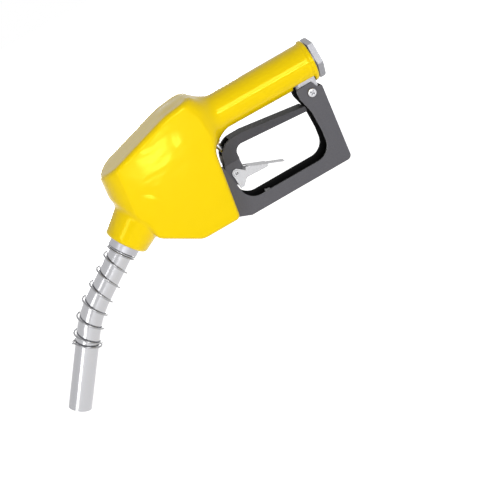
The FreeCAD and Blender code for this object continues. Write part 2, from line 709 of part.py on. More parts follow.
def poppet_cap():
    plug = rod(VALVE, CAP_START, CAP_END, UPPER_CHAMBER_R)
    boss = rod(VALVE, CAP_BOSS_START, CAP_START + 1, CAP_BOSS_R)
    groove = tube(VALVE, CAP_START + 2, CAP_START + 2 + O_RING_WIRE_R * 2, UPPER_CHAMBER_R + 1,
                  UPPER_CHAMBER_R - O_RING_WIRE_R * 1.7)
    slot = rod(VALVE, CAP_END - 3, CAP_END + 1, 6.0)
    bore = rod(VALVE, CAP_BOSS_START - 1, STEM_TOP + POPPET_LIFT + 1, STEM_R + RUN_FIT)
    return cut(fuse([plug, boss]), [groove, slot, bore])


def ring_seal(axis, along, outer):
    """Square-bedded O-ring that fills its groove up to the bore it seals."""
    wire = O_RING_WIRE_R * 0.85
    centre = at(axis, along)
    return Part.makeTorus(outer - wire, wire, centre, axis[1])


def poppet_cap_o_ring():
    return ring_seal(VALVE, CAP_START + 2 + O_RING_WIRE_R, UPPER_CHAMBER_R)


def packing_gland():
    head = rod(VALVE, GLAND_START, GLAND_HEAD_END, GLAND_HEAD_R)
    body = rod(VALVE, GLAND_HEAD_END, GLAND_END, GLAND_R)
    shape = fuse([head, body]).cut(rod(VALVE, GLAND_START - 1, GLAND_END + 1, STEM_R + RUN_FIT))
    return shape


def stem_packing():
    return tube(VALVE, GLAND_END, GLAND_END + PACKING_LENGTH, GLAND_R, STEM_R + RUN_FIT)


# ---- shut-off latch ----
def behind_casting():
    """Space behind the casting's rear face, where the guard's web stands."""
    low = BOTTOM_Z - 10
    high = FRONT_POST_TOP_Z + 20
    return side_plate([(rear_face_x(low, COVER_WALL), low), (PAST, low), (PAST, high),
                       (rear_face_x(high, COVER_WALL), high)], -PAST, PAST)


def plunger_guide():
    guide = tube(LATCH, GUIDE_START, GUIDE_END, GUIDE_R, PLUNGER_STEM_R + RUN_FIT)
    return guide.cut(behind_casting())


def latch_sleeve():
    """Steel sleeve; the balls rest on its inner cone."""
    sleeve = tube(LATCH, GUIDE_END, SLEEVE_END, SLEEVE_R, PLUNGER_R + RUN_FIT)
    reach = BALL_CENTRE_R + BALL_R + LATCH_PLAY
    released = reach - BALL_TRAVEL
    cone_start = BALL_AT - PLUNGER_DROP
    cone = taper(LATCH, cone_start, BALL_AT, released, reach)
    return cut(sleeve, [cone, rod(LATCH, BALL_AT, SLEEVE_END + 1, reach), behind_casting()])


def latch_plunger():
    stem = rod(LATCH, -5, PLUNGER_SHOULDER, PLUNGER_STEM_R)
    head = rod(LATCH, PLUNGER_SHOULDER, PLUNGER_TOP, PLUNGER_R)
    eye = Part.makeCylinder(LEVER_PIN_R, 40, Vector(PIVOT_X, -20, PIVOT_Z), Vector(0, 1, 0))
    bore = rod(LATCH, PLUNGER_BORE_START, PLUNGER_TOP + 1, PLUNGER_BORE_R)
    shape = cut(fuse([stem, head]), [eye, bore])
    for i in range(3):
        shape = shape.cut(Part.makeCylinder(BALL_R + RUN_FIT, PLUNGER_R + 1, at(LATCH, BALL_AT), ball_way(i)))
    return shape


def ball_way(index):
    """Radial direction of one latch ball."""
    angle = math.radians(120 * index + 90)
    return across(LATCH[1]) * math.cos(angle) + Vector(0, 1, 0) * math.sin(angle)


def latch_ball(index):
    return Part.makeSphere(BALL_R, at(LATCH, BALL_AT) + ball_way(index) * BALL_CENTRE_R)


def latch_pin():
    """Tapered pin with the diaphragm plates that clamp the diaphragm's middle."""
    travel = PLUNGER_DROP + LATCH_PIN_LIFT
    pin = fuse([
        rod(LATCH, BALL_AT + BALL_R, SLEEVE_END + DIAPHRAGM_THICK, LATCH_PIN_R),
        taper(LATCH, BALL_AT - travel, BALL_AT + BALL_R, LATCH_PIN_TIP_R, LATCH_PIN_R),
    ])
    low = rod(LATCH, SLEEVE_END - DIAPHRAGM_PLATE_THICK, SLEEVE_END, PLUNGER_R)
    high = rod(LATCH, SLEEVE_END + DIAPHRAGM_THICK, SLEEVE_END + DIAPHRAGM_THICK + DIAPHRAGM_PLATE_THICK,
               DIAPHRAGM_PLATE_R)
    return fuse([pin, low, high])


def plunger_spring():
    free = PLUNGER_SHOULDER - GUIDE_END
    return coil(LATCH, GUIDE_END + 0.6, (free - 1.2) / 5, 5, 5.0, 0.5)


def diaphragm():
    return tube(LATCH, SLEEVE_END, SLEEVE_END + DIAPHRAGM_THICK, DIAPHRAGM_R, LATCH_PIN_R).cut(
        Part.makeCompound([rod(axis, -1, CAP_SCREW_LENGTH, CAP_SCREW_R) for axis in cap_screw_axes()]))


def diaphragm_cap():
    start = SLEEVE_END + DIAPHRAGM_THICK
    flange = rod(LATCH, start, start + DIAPHRAGM_FLANGE, DIAPHRAGM_R)
    dome = rod(LATCH, start, start + DIAPHRAGM_CAP_LENGTH, DIAPHRAGM_CAP_CAVITY_R + 1.5)
    shape = fuse([flange, dome]).cut(rod(LATCH, start - 1, start + DIAPHRAGM_CAP_CAVITY, DIAPHRAGM_CAP_CAVITY_R))
    return cut(shape, [rod(axis, -8, CAP_SCREW_LENGTH, CAP_SCREW_R) for axis in cap_screw_axes()] + [
        rod(axis, -8, 0, CAP_SCREW_HEAD_R + 0.1) for axis in cap_screw_axes()])


def diaphragm_cap_screws():
    return Part.makeCompound([bolt(axis[0], axis[1], CAP_SCREW_LENGTH, CAP_SCREW_R, CAP_SCREW_HEAD_R, 1.4)
                              for axis in cap_screw_axes()])


def diaphragm_spring():
    start = SLEEVE_END + DIAPHRAGM_THICK + DIAPHRAGM_PLATE_THICK
    end = SLEEVE_END + DIAPHRAGM_THICK + DIAPHRAGM_CAP_CAVITY
    return coil(LATCH, start + 0.5, (end - start - 1) / 3, 3, 5.5, 0.4)


def access_cap():
    axis = front_cap_axis()
    return rod(axis, -FRONT_CAP_THICK, 0, FRONT_CAP_R).cut(rod(axis, -2, 1, 5.0))


# ---- spout ----
def spout_collar():
    shape = tube(SPOUT, COLLAR_START, COLLAR_END, COLLAR_R, COLLAR_BORE_R)
    groove = tube(SPOUT, O_RING_AT, O_RING_AT + O_RING_WIRE_R * 2, COLLAR_R + 1, COLLAR_R - O_RING_WIRE_R * 1.7)
    narrow = tube(SPOUT, SPOUT_START, COLLAR_END, COLLAR_R, SPOUT_R)
    return fuse([shape, narrow]).cut(groove).cut(lock_screw_hole())


def collar_o_ring():
    return ring_seal(SPOUT, O_RING_AT + O_RING_WIRE_R, COLLAR_R)


def spout_path(side, start, end_from_tip):
    """Straight, arc and straight along the spout at an offset to its upper side."""
    half_turn = math.radians(SPOUT_DROP_LOWER - SPOUT_DROP_UPPER) / 2
    reach = SPOUT_BEND_R * math.tan(half_turn)
    p0 = at(SPOUT, start, side)
    p1 = at((BEND, SPOUT[1]), -reach, side)
    p2 = at(LOWER, reach, side)
    p3 = at(LOWER, SPOUT_LOWER_LENGTH - end_from_tip, side)
    centre = at(SPOUT, SPOUT_TO_BEND - reach, -SPOUT_BEND_R)
    towards = (p1 + p2) * 0.5 - centre
    middle = centre + towards.normalize() * (SPOUT_BEND_R + side)
    return Part.Wire([Part.LineSegment(p0, p1).toShape(), Part.Arc(p1, middle, p2).toShape(),
                      Part.LineSegment(p2, p3).toShape()])


def bent_rod(side, start, end_from_tip, radius):
    path = spout_path(side, start, end_from_tip)
    section = Part.Wire([Part.makeCircle(radius, at(SPOUT, start, side), SPOUT[1])])
    return path.makePipeShell([section], True, False)


def spout_tube():
    shape = bent_rod(0, SPOUT_START, 0, SPOUT_R).cut(bent_rod(0, SPOUT_START - 1, -1, SPOUT_R - SPOUT_WALL))
    return shape.cut(sensor_rod(SENSOR_R, SPOUT_R + 5, 0)).cut(
        Part.makeCylinder(LOCK_SCREW_R * 0.7, SPOUT_R + 5, at(SPOUT, LOCK_SCREW_AT), across(SPOUT[1]) * -1))


def sensor_rod(radius, end, start):
    """Round bar square to the lower spout, toward its underside."""
    return Part.makeCylinder(radius, end - start, at(TIP, SENSOR_FROM_TIP) + across(TIP[1]) * start, across(TIP[1]))


def sensing_port():
    """Bush through the spout's wall that the vacuum tube opens into."""
    bush = sensor_rod(SENSOR_R, SPOUT_R - 0.2, VACUUM_TUBE_OFFSET + VACUUM_TUBE_R - 0.4)
    bush = bush.cut(bent_rod(-VACUUM_TUBE_OFFSET, SPOUT_START, SENSOR_FROM_TIP - 3, VACUUM_TUBE_R))
    return bush.cut(sensor_rod(1.2, SPOUT_R + 1, 0))


def vacuum_tube():
    start = SPOUT_START + 2
    side = -VACUUM_TUBE_OFFSET
    outer = bent_rod(side, start, SENSOR_FROM_TIP - 3, VACUUM_TUBE_R)
    inner = bent_rod(side, start - 1, SENSOR_FROM_TIP - 2, VACUUM_TUBE_R - VACUUM_TUBE_WALL)
    return outer.cut(inner).cut(sensor_rod(1.2, SPOUT_R, VACUUM_TUBE_OFFSET))


def spout_lock_screw():
    head_at = NOSE_R_END - COVER_WALL
    origin = at(SPOUT, LOCK_SCREW_AT, -head_at)
    upward = across(SPOUT[1])
    screw = Part.makeCylinder(LOCK_SCREW_R, head_at - SPOUT_R, origin, upward)
    tip = Part.makeCylinder(LOCK_SCREW_R * 0.7, head_at - SPOUT_R + SPOUT_WALL, origin, upward)
    socket = Part.makeCylinder(1.3, 3, origin - upward, upward)
    return fuse([screw, tip]).cut(socket)


def spring_point(distance, side):
    """Point beside the spout's centre line, so far from the root along the bend."""
    half_turn = math.radians(SPOUT_DROP_LOWER - SPOUT_DROP_UPPER) / 2
    reach = SPOUT_BEND_R * math.tan(half_turn)
    straight = SPOUT_TO_BEND - reach
    if distance <= straight:
        return at(SPOUT, distance, side)
    turn = (distance - straight) / SPOUT_BEND_R
    if turn >= 2 * half_turn:
        return at(LOWER, reach + distance - straight - 2 * half_turn * SPOUT_BEND_R, side)
    now = heading(SPOUT_DROP_UPPER + math.degrees(turn))
    centre = at(SPOUT, straight, -SPOUT_BEND_R)
    return centre + across(now) * (SPOUT_BEND_R + side)


def spout_spring():
    """Wire spring round the spout: open turns between closed end turns."""
    closed = COIL_WIRE_R * 2.15
    steps = [closed / 2] * int(COIL_CLOSED_TURNS * 2)
    steps += [COIL_PITCH / 2] * (COIL_OPEN_TURNS * 2)
    steps += [closed / 2] * int(COIL_CLOSED_TURNS * 2)
    distance = COLLAR_END + COIL_WIRE_R
    edges = []
    for i, step in enumerate(steps):
        sign = 1 if i % 2 == 0 else -1
        a = spring_point(distance, sign * COIL_R)
        b = spring_point(distance + step, -sign * COIL_R)
        middle = (a + b) * 0.5 + Vector(0, -sign * (b - a).Length / 2, 0)
        edges.append(Part.Arc(a, middle, b).toShape())
        distance += step
    path = Part.Wire(edges)
    start = spring_point(COLLAR_END + COIL_WIRE_R, COIL_R)
    section = Part.Wire([Part.makeCircle(COIL_WIRE_R, start, Vector(0, 1, 0))])
    return path.makePipeShell([section], True, False)


# ---- check valve in the collar ----
def check_valve_seat():
    return tube(SPOUT, COLLAR_START, COLLAR_START + CHECK_SEAT_LENGTH, COLLAR_BORE_R, CHECK_SEAT_BORE_R)


def check_valve():
    start = COLLAR_START + CHECK_SEAT_LENGTH
    disc = rod(SPOUT, start, start + CHECK_DISC_LENGTH, CHECK_DISC_R)
    nub = taper(SPOUT, start - 2, start, CHECK_SEAT_BORE_R - 3, CHECK_SEAT_BORE_R - 0.6)
    stem = rod(SPOUT, start, CHECK_GUIDE_AT + CHECK_GUIDE_LENGTH - 1, CHECK_STEM_R)
    return fuse([disc, nub, stem])


def check_valve_guide():
    """Spoked guide for the check valve's stem, held between collar and spout tube."""
    end = CHECK_GUIDE_AT + CHECK_GUIDE_LENGTH
    rim = tube(SPOUT, CHECK_GUIDE_AT, end, COLLAR_BORE_R, COLLAR_BORE_R - 2.0)
    hub = rod(SPOUT, CHECK_GUIDE_AT, end, 3.5)
    spokes = []
    for i in range(3):
        way = across(SPOUT[1]) * math.cos(math.radians(120 * i)) + Vector(0, 1, 0) * math.sin(math.radians(120 * i))
        spokes.append(Part.makeCylinder(1.2, COLLAR_BORE_R - 1, at(SPOUT, CHECK_GUIDE_AT + 1.5), way))
    return fuse([rim, hub] + spokes).cut(rod(SPOUT, CHECK_GUIDE_AT - 1, end + 1, CHECK_STEM_R + RUN_FIT))


def check_valve_spring():
    start = COLLAR_START + CHECK_SEAT_LENGTH + CHECK_DISC_LENGTH
    length = CHECK_GUIDE_AT - start
    return coil(SPOUT, start + 0.6, (length - 1.2) / 3.5, 3.5, 3.0, 0.4)


# ---- lever ----
def lever_form(inset, half_width):
    """The lever's solid form: a leg up from the pivot, a round crown and the arm."""
    top = LEVER_CROWN_Z - inset
    points = [
        (LEVER_FRONT_X - 6 + inset, PIVOT_Z - 4 + inset),
        (LEVER_FRONT_X - 3 + inset, PIVOT_Z + 10),
        (LEVER_FRONT_X + 3 + inset, top),
        (LEVER_FRONT_X + 30, top),
        (LEVER_REAR_X - inset, LEVER_REAR_Z - inset),
        (LEVER_REAR_X - inset, LEVER_REAR_Z - LEVER_DEPTH_REAR + inset),
        (LEVER_FRONT_X + LEVER_LEG - inset, LEVER_CROWN_Z - LEVER_DEPTH_FRONT + inset),
        (LEVER_FRONT_X + LEVER_LEG - inset, PIVOT_Z + 12),
        (LEVER_FRONT_X + LEVER_LEG - 6 - inset, PIVOT_Z - 4 + inset),
    ]
    radii = [3.0, 0, LEVER_CROWN_R - inset, 0, 1.5, 1.5, 8.0 + inset, 3.0, 3.0]
    return rounded(points, radii, -half_width, half_width)


def turning_hole(x, z, radius):
    return Part.makeCylinder(radius, PAST * 2, Vector(x, -PAST, z), Vector(0, 1, 0))


def saddle_space():
    """Room for the valve stem's foot over the flat it presses on."""
    corners = [at(VALVE, 0, -SADDLE_FRONT), at(VALVE, 0, SADDLE_REAR), at(VALVE, 30, SADDLE_REAR),
               at(VALVE, 30, -SADDLE_FRONT)]
    return side_plate([(p.x, p.z) for p in corners], -SADDLE_HALF_WIDTH, SADDLE_HALF_WIDTH)


def lever_core():
    """Steel fork and tongue: carries the pin, the rivet and the stem's saddle."""
    leg = lever_form(0, LEVER_CORE_HALF_WIDTH).common(
        side_plate([(-PAST, -PAST), (0, -PAST), (0, LEVER_COVER_LOW_Z), (-PAST, LEVER_COVER_LOW_Z)], -PAST, PAST))
    tongue = lever_form(LEVER_WALL, LEVER_CORE_HALF_WIDTH).common(
        side_plate([(-PAST, LEVER_COVER_LOW_Z - 1), (LEVER_CORE_REAR_X, LEVER_COVER_LOW_Z - 1),
                    (LEVER_CORE_REAR_X, 0), (-PAST, 0)], -PAST, PAST))
    slot = LEVER_CORE_HALF_WIDTH - LEVER_CORE_WALL
    fork = side_plate([(PIVOT_X - 20, PIVOT_Z - 20), (CLIP_PIVOT_X + 5, PIVOT_Z - 20),
                       (CLIP_PIVOT_X + 5, CLIP_PIVOT_Z + 6), (PIVOT_X - 20, CLIP_PIVOT_Z + 6)], -slot, slot)
    return cut(fuse([leg, tongue]), [
        fork,
        saddle_space(),
        turning_hole(PIVOT_X, PIVOT_Z, LEVER_PIN_R + RUN_FIT),
        turning_hole(CLIP_PIVOT_X, CLIP_PIVOT_Z, CLIP_RIVET_R),
    ])


def lever_cover():
    """Moulded grip over the steel; its arm is a trough with cross ribs, open toward the handle."""
    shape = lever_form(0, LEVER_HALF_WIDTH).common(
        side_plate([(-PAST, LEVER_COVER_LOW_Z), (0, LEVER_COVER_LOW_Z), (0, 0), (-PAST, 0)], -PAST, PAST))
    inner = LEVER_HALF_WIDTH - LEVER_WALL
    trough = lever_form(LEVER_WALL, inner).fuse(lever_form(LEVER_WALL, inner).translated(Vector(0, 0, 6)))
    trough_start = LEVER_CORE_REAR_X + LEVER_RIB
    trough_end = LEVER_REAR_X - LEVER_WALL
    trough = trough.common(side_plate([(trough_start, -PAST), (trough_end, -PAST), (trough_end, 0),
                                       (trough_start, 0)], -PAST, PAST))
    x = LEVER_CORE_REAR_X + LEVER_RIB_SPACING
    while x < LEVER_REAR_X - LEVER_RIB_SPACING / 2:
        rib = side_plate([(x, -PAST), (x + LEVER_RIB, -PAST), (x + LEVER_RIB, 0), (x, 0)], -PAST, PAST)
        trough = trough.cut(rib)
        x += LEVER_RIB_SPACING
    return cut(shape, [trough, lever_core(), saddle_space()])


def lever_pin():
    half = LEVER_CORE_HALF_WIDTH
    return Part.makeCylinder(LEVER_PIN_R, half * 2, Vector(PIVOT_X, -half, PIVOT_Z), Vector(0, 1, 0))


# ---- hold-open clip ----
def hold_open_clip():
    """Bent sheet: two ears on the rivet, wedge-shaped sides, a web between them and its tongue."""
    web = (Vector(CLIP_PIVOT_X, 0, CLIP_PIVOT_Z), heading(CLIP_WEB_DROP, False))

    def outline(points):
        return [(p.x, p.z) for p in (at(web, along, side) for along, side in points)]

    half = CLIP_HALF_WIDTH
    rise = -CLIP_WEB_RISE
    side_points = outline([(3, -CLIP_EAR_R + 0.6), (9, rise + 3.4), (9, rise), (CLIP_WEB_END, rise),
                           (CLIP_WEB_END, rise + 2.8), (10, 5.5), (6.5, CLIP_TAIL_LENGTH - 1.5),
                           (3, CLIP_TAIL_LENGTH), (-CLIP_EAR_R + 0.2, 1)])
    sides = fuse([side_plate(side_points, -half, half), Part.makeCylinder(
        CLIP_EAR_R, half * 2, Vector(CLIP_PIVOT_X, -half, CLIP_PIVOT_Z), Vector(0, 1, 0))])
    inner = half - CLIP_SHEET
    sides = sides.cut(side_plate(outline([(-PAST, -PAST), (PAST, -PAST), (PAST, PAST), (-PAST, PAST)]), -inner, inner))
    plate = outline([(CLIP_WEB_START, rise), (CLIP_WEB_END, rise), (CLIP_WEB_END, rise + CLIP_SHEET),
                     (CLIP_WEB_START, rise + CLIP_SHEET)])
    tab = outline([(CLIP_WEB_START - 3, rise), (CLIP_WEB_START, rise), (CLIP_WEB_START, rise + CLIP_SHEET),
                   (CLIP_WEB_START - 3, rise + CLIP_SHEET)])
    tongue = outline([(CLIP_WEB_END, rise), (CLIP_TONGUE_END, rise), (CLIP_TONGUE_END, rise + CLIP_SHEET),
                      (CLIP_WEB_END, rise + CLIP_SHEET)])
    tongue_y = CLIP_TONGUE_HALF_WIDTH
    shape = fuse([sides, side_plate(plate, -half, half), side_plate(tab, -tongue_y / 2, tongue_y / 2),
                  side_plate(tongue, -tongue_y, tongue_y)])
    return shape.cut(turning_hole(CLIP_PIVOT_X, CLIP_PIVOT_Z, CLIP_RIVET_R + RUN_FIT))


def clip_rivet():
    """Hollow rivet, its heads turned over outside the clip's ears."""
    reach = CLIP_HALF_WIDTH + 0.1 + CLIP_RIVET_HEAD
    origin = Vector(CLIP_PIVOT_X, -reach, CLIP_PIVOT_Z)
    along = Vector(0, 1, 0)
    body = Part.makeCylinder(CLIP_RIVET_R, reach * 2, origin, along)
    near = Part.makeCylinder(CLIP_RIVET_HEAD_R, CLIP_RIVET_HEAD, origin, along)
    far = Part.makeCylinder(CLIP_RIVET_HEAD_R, CLIP_RIVET_HEAD, origin + along * (reach * 2 - CLIP_RIVET_HEAD), along)
    return fuse([body, near, far]).cut(turning_hole(CLIP_PIVOT_X, CLIP_PIVOT_Z, CLIP_RIVET_BORE_R))


def clip_spring():
    """Torsion coil on the rivet, between the fork's cheeks."""
    reach = LEVER_CORE_HALF_WIDTH - LEVER_CORE_WALL - 0.6
    turns = 4
    edges = []
    step = reach * 2 / (turns * 2)
    radius = CLIP_RIVET_R + 0.75
    for i in range(turns * 2):
        sign = 1 if i % 2 == 0 else -1
        a = Vector(CLIP_PIVOT_X + sign * radius, -reach + step * i, CLIP_PIVOT_Z)
        b = Vector(CLIP_PIVOT_X - sign * radius, -reach + step * (i + 1), CLIP_PIVOT_Z)
        middle = (a + b) * 0.5 + Vector(0, 0, sign * (b - a).Length / 2)
        edges.append(Part.Arc(a, middle, b).toShape())
    section = Part.Wire([Part.makeCircle(0.4, Vector(CLIP_PIVOT_X + radius, -reach, CLIP_PIVOT_Z), Vector(0, 0, 1))])
    return Part.Wire(edges).makePipeShell([section], True, False)


NODES = {
    "body_casting": body_casting,
    "scuff_cover": scuff_cover,
    "lever_guard": lever_guard,
    "hold_open_rack": hold_open_rack,
    "guard_rear_screw": guard_rear_screw,
    "guard_rear_nut": guard_rear_nut,
    "guard_front_screws": guard_front_screws,
    "valve_seat_ring": valve_seat_ring,
    "poppet_disc": poppet_disc,
    "main_poppet": main_poppet,
    "main_stem": main_stem,
    "poppet_spring": poppet_spring,
    "poppet_cap": poppet_cap,
    "poppet_cap_o_ring": poppet_cap_o_ring,
    "packing_gland": packing_gland,
    "stem_packing": stem_packing,
    "plunger_guide": plunger_guide,
    "latch_sleeve": latch_sleeve,
    "latch_plunger": latch_plunger,
    "latch_ball_1": lambda: latch_ball(0),
    "latch_ball_2": lambda: latch_ball(1),
    "latch_ball_3": lambda: latch_ball(2),
    "latch_pin": latch_pin,
    "plunger_spring": plunger_spring,
    "diaphragm": diaphragm,
    "diaphragm_cap": diaphragm_cap,
    "diaphragm_cap_screws": diaphragm_cap_screws,
    "diaphragm_spring": diaphragm_spring,
    "access_cap": access_cap,
    "spout_collar": spout_collar,
    "collar_o_ring": collar_o_ring,
    "spout_lock_screw": spout_lock_screw,
    "spout_tube": spout_tube,
    "spout_spring": spout_spring,
    "sensing_port": sensing_port,
    "vacuum_tube": vacuum_tube,
    "check_valve_seat": check_valve_seat,
    "check_valve": check_valve,
    "check_valve_guide": check_valve_guide,
    "check_valve_spring": check_valve_spring,
    "lever_core": lever_core,
    "lever_cover": lever_cover,
    "lever_pin": lever_pin,
    "hold_open_clip": hold_open_clip,
    "clip_rivet": clip_rivet,
    "clip_spring": clip_spring,
}

os.makedirs("parts", exist_ok=True)
for name, make in NODES.items():
    make().exportStep("parts/" + name + ".step")
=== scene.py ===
import math

import bmesh
import bpy
import numpy as np
from mathutils import Matrix, Vector


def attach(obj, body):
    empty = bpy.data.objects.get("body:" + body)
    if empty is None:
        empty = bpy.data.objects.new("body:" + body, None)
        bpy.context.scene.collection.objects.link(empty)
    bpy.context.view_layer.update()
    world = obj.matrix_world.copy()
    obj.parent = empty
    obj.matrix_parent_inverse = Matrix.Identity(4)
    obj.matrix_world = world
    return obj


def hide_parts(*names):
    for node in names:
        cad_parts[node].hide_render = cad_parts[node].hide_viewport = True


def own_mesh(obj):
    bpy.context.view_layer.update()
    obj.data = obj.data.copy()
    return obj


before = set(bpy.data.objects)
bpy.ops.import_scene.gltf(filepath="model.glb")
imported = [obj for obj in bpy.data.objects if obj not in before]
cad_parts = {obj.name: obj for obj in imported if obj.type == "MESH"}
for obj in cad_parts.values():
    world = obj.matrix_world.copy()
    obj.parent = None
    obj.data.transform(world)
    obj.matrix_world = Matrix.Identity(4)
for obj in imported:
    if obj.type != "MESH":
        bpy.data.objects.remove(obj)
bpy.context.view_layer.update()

scene = bpy.context.scene


# ---------------------------------------------------------------- camera
# The nozzle is held as at the pump: handle up to the right, spout down to the left, seen from its left side.
# The part keeps its own frame, so the camera is rolled to show it at that slope.
CAMERA_AT = (-0.2566, -1.1621, 0.2994)
CAMERA_RIGHT = Vector((0.86119, -0.24969, -0.44273))
CAMERA_UP = Vector((0.50042, 0.26385, 0.82460))
lens = bpy.data.cameras.new("camera")
lens.lens = 90.0
lens.sensor_width = 36.0
lens.clip_end = 20.0
lens.dof.use_dof = False
camera = bpy.data.objects.new("camera", lens)
scene.collection.objects.link(camera)
turn = Matrix((CAMERA_RIGHT, CAMERA_UP, CAMERA_RIGHT.cross(CAMERA_UP))).transposed().to_4x4()
camera.matrix_world = Matrix.Translation(CAMERA_AT) @ turn
scene.camera = camera
scene.view_settings.view_transform = "Standard"


# ---------------------------------------------------------------- studio
# White paper sweep under the nozzle, lit by large soft lamps in front and one behind.
# Two narrow lamps draw the streaks along handle and spout, and a small low one marks the body's side.
def new_finish(name):
    """New material, its nodes and links, and the shader at its end."""
    made = bpy.data.materials.new(name)
    made.use_nodes = True
    return made, made.node_tree.nodes, made.node_tree.links, made.node_tree.nodes["Principled BSDF"]


def mesh_piece(name, points, faces, smooth=True):
    mesh = bpy.data.meshes.new(name)
    mesh.from_pydata([tuple(p) for p in points], [], [tuple(f) for f in faces])
    mesh.update()
    mesh.shade_smooth() if smooth else mesh.shade_flat()
    made = bpy.data.objects.new(name, mesh)
    scene.collection.objects.link(made)
    return made


def looked_at(nodes, links):
    """1 for rays that look at the studio, also in a mirror or through glass; 0 for light that fills."""
    rays = nodes.new("ShaderNodeLightPath")
    direct = nodes.new("ShaderNodeMath")
    direct.operation = "ADD"
    links.new(rays.outputs["Is Camera Ray"], direct.inputs[0])
    links.new(rays.outputs["Is Glossy Ray"], direct.inputs[1])
    total = nodes.new("ShaderNodeMath")
    total.operation = "ADD"
    total.use_clamp = True
    links.new(direct.outputs[0], total.inputs[0])
    links.new(rays.outputs["Is Transmission Ray"], total.inputs[1])
    return total.outputs[0]


FLOOR_Z = -0.236
FLOOR_REACH = 3
PAPER_GLOW = 0.8
corners = [(x, y, FLOOR_Z) for x, y in ((-1, -1), (1, -1), (1, 1), (-1, 1))]
corners = [(x * FLOOR_REACH, y * FLOOR_REACH, z) for x, y, z in corners]
floor = mesh_piece("studio_floor", corners, [(0, 1, 2, 3)], smooth=False)
paper, nodes, links, shader = new_finish("studio_paper")
shader.inputs["Base Color"].default_value = (0.9, 0.9, 0.9, 1)
shader.inputs["Roughness"].default_value = 0.9
shader.inputs["Emission Color"].default_value = (1, 1, 1, 1)
glow = nodes.new("ShaderNodeMath")
glow.operation = "MULTIPLY"
glow.inputs[1].default_value = PAPER_GLOW
links.new(looked_at(nodes, links), glow.inputs[0])
links.new(glow.outputs[0], shader.inputs["Emission Strength"])
floor.data.materials.append(paper)

world = bpy.data.worlds.new("studio")
world.use_nodes = True
scene.world = world
nodes, links = world.node_tree.nodes, world.node_tree.links
nodes.clear()
pick = nodes.new("ShaderNodeMixShader")
links.new(looked_at(nodes, links), pick.inputs["Fac"])
for socket, strength in ((1, 0.27), (2, 1.0)):
    white = nodes.new("ShaderNodeBackground")
    white.inputs["Color"].default_value = (1, 1, 1, 1)
    white.inputs["Strength"].default_value = strength
    links.new(white.outputs["Background"], pick.inputs[socket])
out = nodes.new("ShaderNodeOutputWorld")
links.new(pick.outputs["Shader"], out.inputs["Surface"])


def lamp(name, place, target, width, height, watts, tilt=0):
    data = bpy.data.lights.new(name, "AREA")
    data.shape = "RECTANGLE"
    data.size = width
    data.size_y = height
    data.energy = watts
    made = bpy.data.objects.new(name, data)
    made.location = place
    made.rotation_euler = (Vector(target) - Vector(place)).to_track_quat("-Z", "Y").to_euler()
    made.rotation_euler.rotate_axis("Z", math.radians(tilt))
    made.visible_camera = False
    scene.collection.objects.link(made)


MIDDLE = (-0.2, 0.0, -0.06)
BODY_SIDE = (-0.185, -0.0275, 0.0)
lamp("key_softbox", (0.1, -1.45, 0.4), MIDDLE, 0.5, 0.4, 5.0)
lamp("front_strip", (0.0, -1.5, 0.08), MIDDLE, 1.0, 0.09, 5.8)
lamp("side_strip", (-1.15, -0.9, 0.08), MIDDLE, 0.28, 0.9, 3.8)
lamp("back_softbox", (-0.3, 1.5, -0.04), MIDDLE, 0.9, 0.3, 9)
lamp("low_reflector", (-0.143, -0.7, -0.177), BODY_SIDE, 0.06, 0.018, 0.09, tilt=22)


# ---------------------------------------------------------------- body casting
# Sand-cast aluminium: hex inlet, handle tube and valve chambers in one piece, under the yellow cover.
# Only the hex, the guard's lug and a strip under the handle stay in sight, with the sand's grain on them.
def noise(nodes, links, scale, detail=2.0, place=None):
    marks = nodes.new("ShaderNodeTexNoise")
    marks.inputs["Scale"].default_value = scale
    marks.inputs["Detail"].default_value = detail
    if place:
        links.new(place, marks.inputs["Vector"])
    return marks.outputs["Fac"]


def ranged(nodes, links, value, low, high):
    reach = nodes.new("ShaderNodeMapRange")
    reach.inputs["To Min"].default_value = low
    reach.inputs["To Max"].default_value = high
    links.new(value, reach.inputs["Value"])
    return reach


def two_colours(nodes, links, factor, first, second):
    """Blend of two colours; second may be left to a link."""
    blend = nodes.new("ShaderNodeMix")
    blend.data_type = "RGBA"
    blend.inputs["A"].default_value = [*first, 1]
    if isinstance(second, tuple):
        blend.inputs["B"].default_value = [*second, 1]
    else:
        links.new(second, blend.inputs["B"])
    links.new(factor, blend.inputs["Factor"])
    return blend.outputs["Result"]


def relief(nodes, links, shader, height, strength, distance):
    bump = nodes.new("ShaderNodeBump")
    bump.inputs["Strength"].default_value = strength
    bump.inputs["Distance"].default_value = distance
    links.new(height, bump.inputs["Height"])
    links.new(bump.outputs["Normal"], shader.inputs["Normal"])


def bare_metal(name, colour, rough, grain, packed=(1, 1, 1), depth=0.15):
    """Metal with tool marks; a larger number in packed sets them closer along that axis."""
    made, nodes, links, shader = new_finish(name)
    place = nodes.new("ShaderNodeTexCoord")
    stretch = nodes.new("ShaderNodeMapping")
    stretch.inputs["Scale"].default_value = packed
    links.new(place.outputs["Object"], stretch.inputs["Vector"])
    marks = noise(nodes, links, grain, 4.0, stretch.outputs["Vector"])
    darker = tuple(0.9 * part for part in colour)
    links.new(two_colours(nodes, links, marks, darker, colour), shader.inputs["Base Color"])
    sheen = ranged(nodes, links, marks, rough * 0.75, rough * 1.35)
    links.new(sheen.outputs["Result"], shader.inputs["Roughness"])
    relief(nodes, links, shader, marks, depth, 0.0003)
    shader.inputs["Metallic"].default_value = 1.0
    return made


def dress(surface, *names):
    """Gives CAD nodes their material."""
    for name in names:
        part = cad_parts[name]
        if not part.material_slots:
            part.data.materials.append(surface)
        for place in part.material_slots:
            place.material = surface


cast_aluminium = bare_metal("cast_aluminium", (0.34, 0.34, 0.36), 0.42, 900, depth=0.35)
dress(cast_aluminium, "body_casting")


